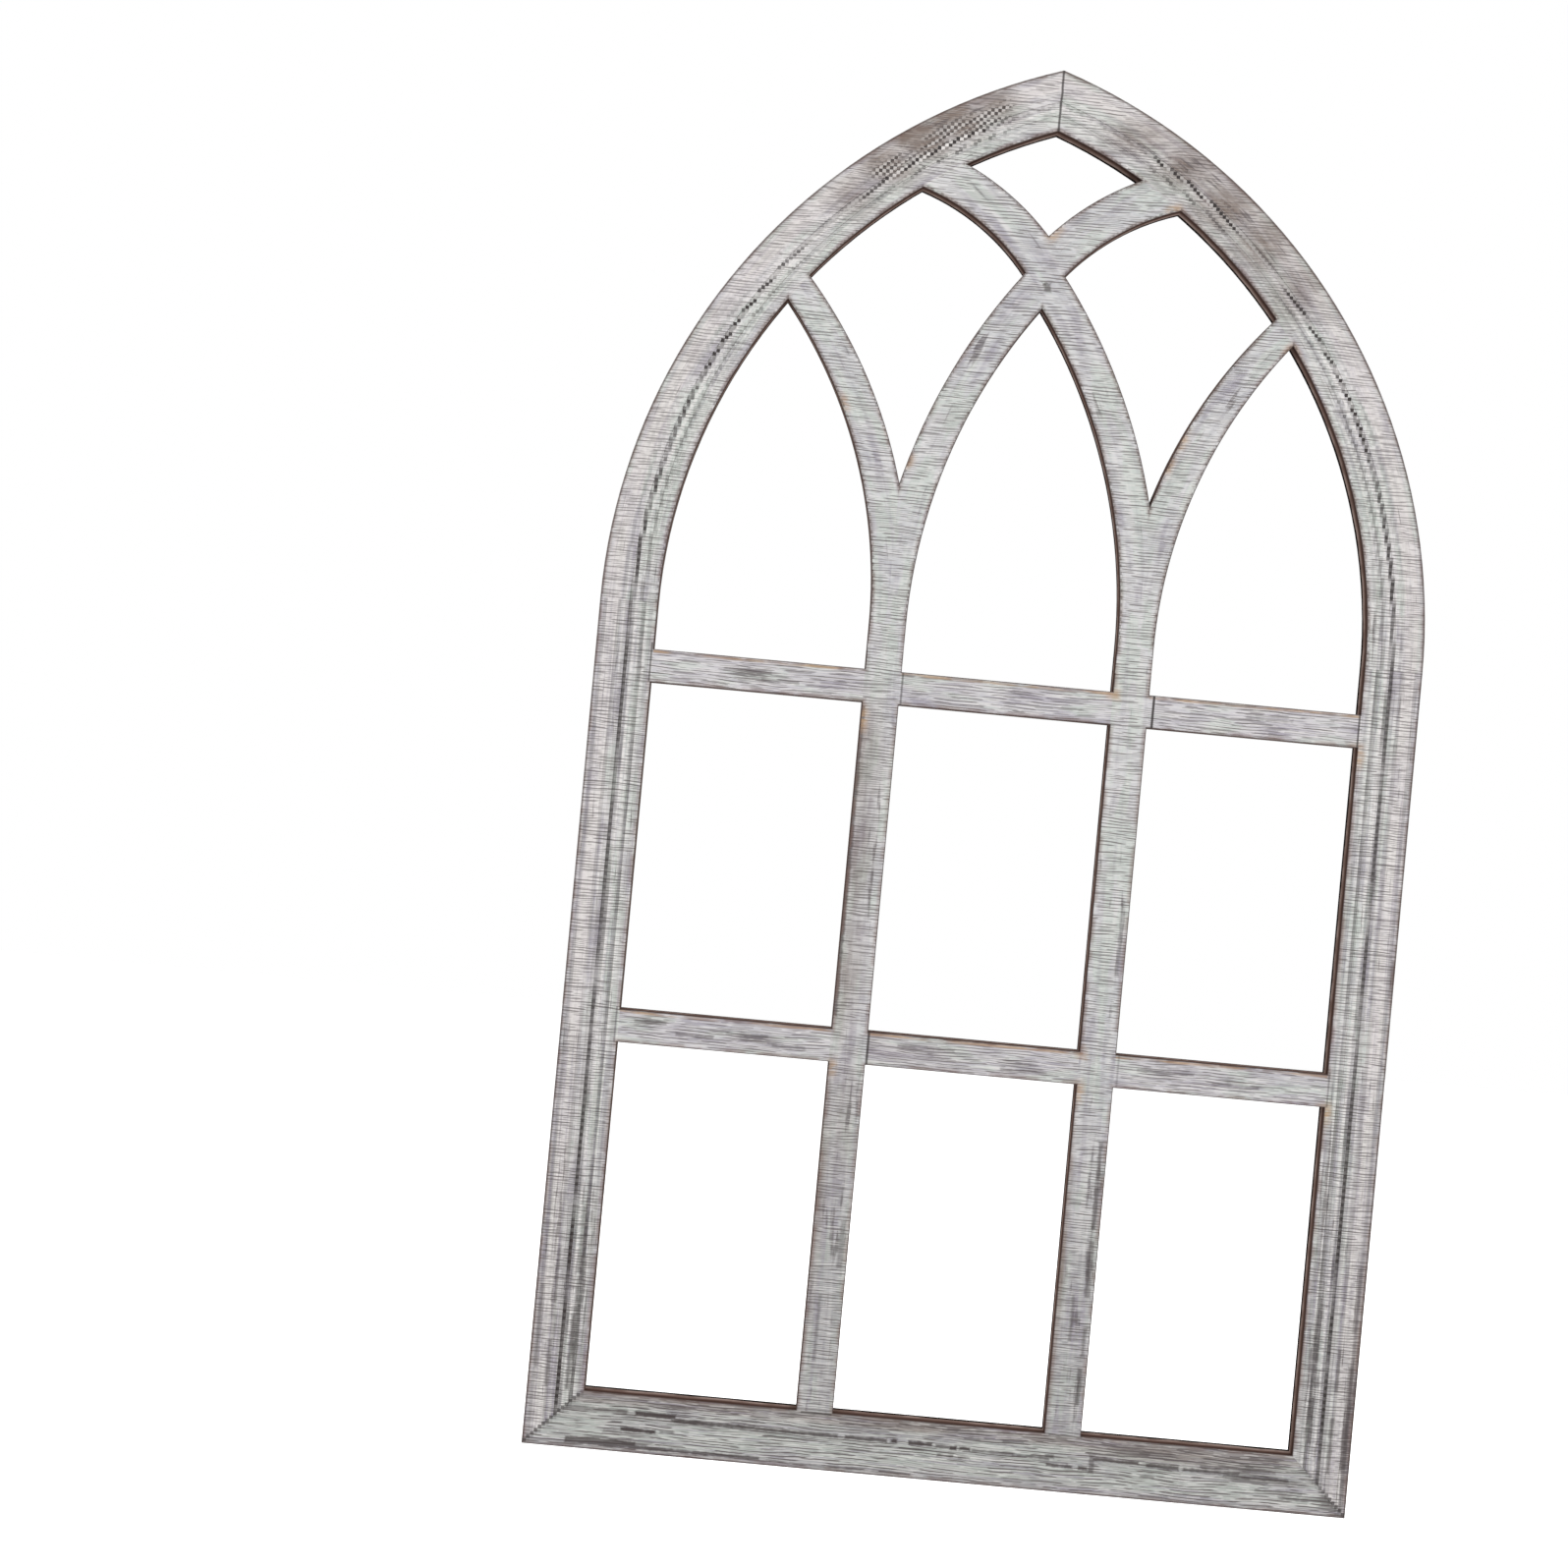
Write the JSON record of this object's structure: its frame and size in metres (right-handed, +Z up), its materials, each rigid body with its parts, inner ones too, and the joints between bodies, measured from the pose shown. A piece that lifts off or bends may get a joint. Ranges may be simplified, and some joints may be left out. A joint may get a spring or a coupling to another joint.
{
  "type": "arched top window frame wall decoration",
  "caption": "Pointed-arch window frame for a wall, in pale weathered grey wood, with mullions, muntins and intersecting tracery around open lights.",
  "frame": {"origin": "middle of the bottom edge of the back, on the wall", "axes": "+Z up the frame, +X to the right seen from the front, +Y into the wall"},
  "size_m": [0.35, 0.012, 0.6],
  "materials": {
    "moulded_frame": "weathered",
    "window_bars": "weathered"
  },
  "bodies": {
    "root": {"bottom_rail": "moulded_frame", "left_stile": "moulded_frame", "right_stile": "moulded_frame", "left_arch_rib": "moulded_frame", "right_arch_rib": "moulded_frame", "left_mullion": "window_bars", "right_mullion": "window_bars", "lower_muntin_left": "window_bars", "lower_muntin_middle": "window_bars", "lower_muntin_right": "window_bars", "upper_muntin_left": "window_bars", "upper_muntin_middle": "window_bars", "upper_muntin_right": "window_bars", "left_outer_tracery_bar": "window_bars", "right_outer_tracery_bar": "window_bars", "rising_right_tracery_bar": "window_bars", "rising_left_tracery_bar": "window_bars"}
  },
  "joints": []
}
